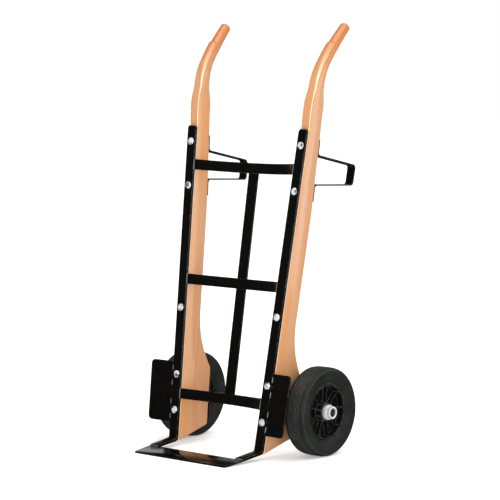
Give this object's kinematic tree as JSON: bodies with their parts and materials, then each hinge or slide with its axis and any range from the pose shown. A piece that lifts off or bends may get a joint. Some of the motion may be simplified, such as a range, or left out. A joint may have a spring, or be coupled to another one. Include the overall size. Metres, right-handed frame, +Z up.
{
  "type": "hand truck",
  "caption": "Upright wheeled hand truck: sweeping wooden stiles on a bowed flat-bar steel frame with an open toe, wheel guards, rest brackets and solid tyres.",
  "frame": {"origin": "on the floor, under the middle of the truck's bounding box", "axes": "+Z up, +X across to the right as seen from the load side, -Y towards the load, so the handles sweep towards +Y; the axle runs along X"},
  "size_m": [0.5736, 0.5103, 1.2061],
  "materials": {
    "beech": "clear varnished beech, deeper orange on the grips",
    "black_paint": "glossy black enamel on flat bar steel",
    "zinc_steel": "bright zinc plate",
    "bar_steel": "plain turned steel, lightly browned",
    "tyre_rubber": "matt dark grey rubber",
    "black_plastic": "moulded black plastic, satin"
  },
  "bodies": {
    "frame": {"left_stile": "beech", "left_rail": "black_paint", "left_wheel_guard": "black_paint", "left_rest_bracket": "black_paint", "left_axle_carrier": "black_paint", "left_top_bolt": "zinc_steel", "left_upper_bolt": "zinc_steel", "left_middle_bolt": "zinc_steel", "left_lower_bolt": "zinc_steel", "left_bottom_bolt": "zinc_steel", "left_top_nut": "zinc_steel", "left_upper_nut": "zinc_steel", "left_middle_nut": "zinc_steel", "left_lower_nut": "zinc_steel", "left_bottom_nut": "zinc_steel", "left_bolt_washer": "zinc_steel", "left_outer_washer": "zinc_steel", "left_end_washer": "zinc_steel", "left_axle_spacer": "zinc_steel", "left_set_collar": "zinc_steel", "left_collar_screw": "bar_steel", "right_stile": "beech", "right_rail": "black_paint", "right_wheel_guard": "black_paint", "right_rest_bracket": "black_paint", "right_axle_carrier": "black_paint", "right_top_bolt": "zinc_steel", "right_upper_bolt": "zinc_steel", "right_middle_bolt": "zinc_steel", "right_lower_bolt": "zinc_steel", "right_bottom_bolt": "zinc_steel", "right_top_nut": "zinc_steel", "right_upper_nut": "zinc_steel", "right_middle_nut": "zinc_steel", "right_lower_nut": "zinc_steel", "right_bottom_nut": "zinc_steel", "right_bolt_washer": "zinc_steel", "right_outer_washer": "zinc_steel", "right_end_washer": "zinc_steel", "right_axle_spacer": "zinc_steel", "right_set_collar": "zinc_steel", "right_collar_screw": "bar_steel", "toe_plate": "black_paint", "bottom_crossbar": "black_paint", "middle_crossbar": "black_paint", "top_crossbar": "black_paint", "centre_strap": "black_paint", "axle": "bar_steel"},
    "left_wheel": {"left_tyre": "tyre_rubber", "left_rim": "black_plastic", "left_web": "black_plastic", "left_outer_spokes": "black_plastic", "left_inner_spokes": "black_plastic", "left_bush": "bar_steel"},
    "right_wheel": {"right_tyre": "tyre_rubber", "right_rim": "black_plastic", "right_web": "black_plastic", "right_outer_spokes": "black_plastic", "right_inner_spokes": "black_plastic", "right_bush": "bar_steel"}
  },
  "joints": [
    {"name": "left_wheel_spin", "type": "hinge", "parent": "frame", "child": "left_wheel", "pos_m": [-0.2422, 0.069, 0.125], "axis": [1, 0, 0], "continuous": true},
    {"name": "right_wheel_spin", "type": "hinge", "parent": "frame", "child": "right_wheel", "pos_m": [0.2422, 0.069, 0.125], "axis": [1, 0, 0], "continuous": true}
  ]
}
